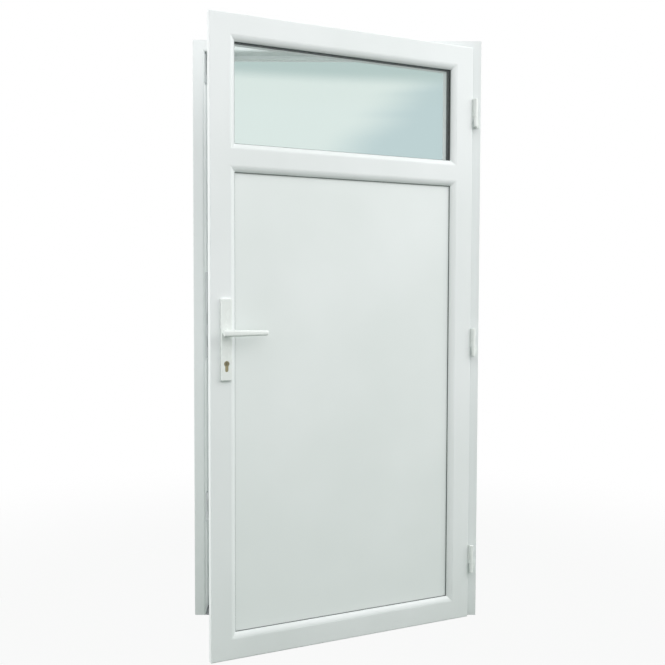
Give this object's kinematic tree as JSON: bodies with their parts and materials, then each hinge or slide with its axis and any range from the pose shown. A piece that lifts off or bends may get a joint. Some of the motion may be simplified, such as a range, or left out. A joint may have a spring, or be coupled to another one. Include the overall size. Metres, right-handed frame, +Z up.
{
  "type": "entrance door",
  "caption": "White PVC entrance door: a hinged leaf with a glazed top light over a smooth panel, lever handle and cylinder lock, in a three-sided frame with a low threshold.",
  "frame": {"origin": "on the wall face of the hinge jamb, at floor level, in the middle of the frame's depth", "axes": "+X out of the hinge jamb's wall face, so the doorway lies towards -X; -Y towards the room that the leaf opens into; +Z up"},
  "size_m": [0.98, 0.506, 1.98],
  "materials": {
    "white_pvc": "smooth extruded white PVC, satin gloss",
    "infill_panel": "smooth white PVC skin of a sandwich panel",
    "glass": "clear float glass",
    "spacer": "dark edge spacer",
    "gasket_rubber": "grey sealing rubber",
    "threshold_aluminium": "mill aluminium with a dark anodised face",
    "lock_steel": "zinc plated steel",
    "white_metal": "white powder coat",
    "cylinder_brass": "dull nickel plated brass"
  },
  "bodies": {
    "frame": {"hinge_jamb": "white_pvc", "lock_jamb": "white_pvc", "frame_head": "white_pvc", "threshold": "threshold_aluminium", "frame_gasket": "gasket_rubber", "upper_strike_plate": "lock_steel", "main_strike_plate": "lock_steel", "lower_strike_plate": "lock_steel", "top_hinge_frame_half": "white_metal", "middle_hinge_frame_half": "white_metal", "bottom_hinge_frame_half": "white_metal"},
    "leaf": {"lock_stile": "white_pvc", "hinge_stile": "white_pvc", "top_rail": "white_pvc", "middle_rail": "white_pvc", "bottom_rail": "white_pvc", "light_left_bead": "white_pvc", "light_right_bead": "white_pvc", "light_top_bead": "white_pvc", "light_bottom_bead": "white_pvc", "panel_left_bead": "white_pvc", "panel_right_bead": "white_pvc", "panel_top_bead": "white_pvc", "panel_bottom_bead": "white_pvc", "lower_panel": "infill_panel", "inside_glass_pane": "glass", "outside_glass_pane": "glass", "glass_spacer": "spacer", "inside_gaskets": "gasket_rubber", "outside_gaskets": "gasket_rubber", "leaf_gasket": "gasket_rubber", "lock_faceplate": "lock_steel", "latch_bolt": "lock_steel", "dead_bolt": "lock_steel", "top_hinge_leaf_half": "white_metal", "middle_hinge_leaf_half": "white_metal", "bottom_hinge_leaf_half": "white_metal", "inside_handle_plate": "white_metal", "outside_handle_plate": "white_metal", "lock_cylinder": "cylinder_brass", "cylinder_plugs": "cylinder_brass"},
    "lever": {"inside_lever": "white_metal", "outside_lever": "white_metal", "spindle": "lock_steel"}
  },
  "joints": [
    {"name": "leaf_swing", "type": "hinge", "parent": "frame", "child": "leaf", "pos_m": [-0.0225, -0.068, 1], "axis": [0, 0, 1], "range_deg": [-24.6, 75.4]},
    {"name": "lever_turn", "type": "hinge", "parent": "leaf", "child": "lever", "pos_m": [-0.84007, -0.39502, 1.004], "axis": [-0.4163, 0.9092, 0], "range_deg": [0, 45], "stiffness_Nm_per_rad": 2, "springref_deg": -34.38}
  ]
}
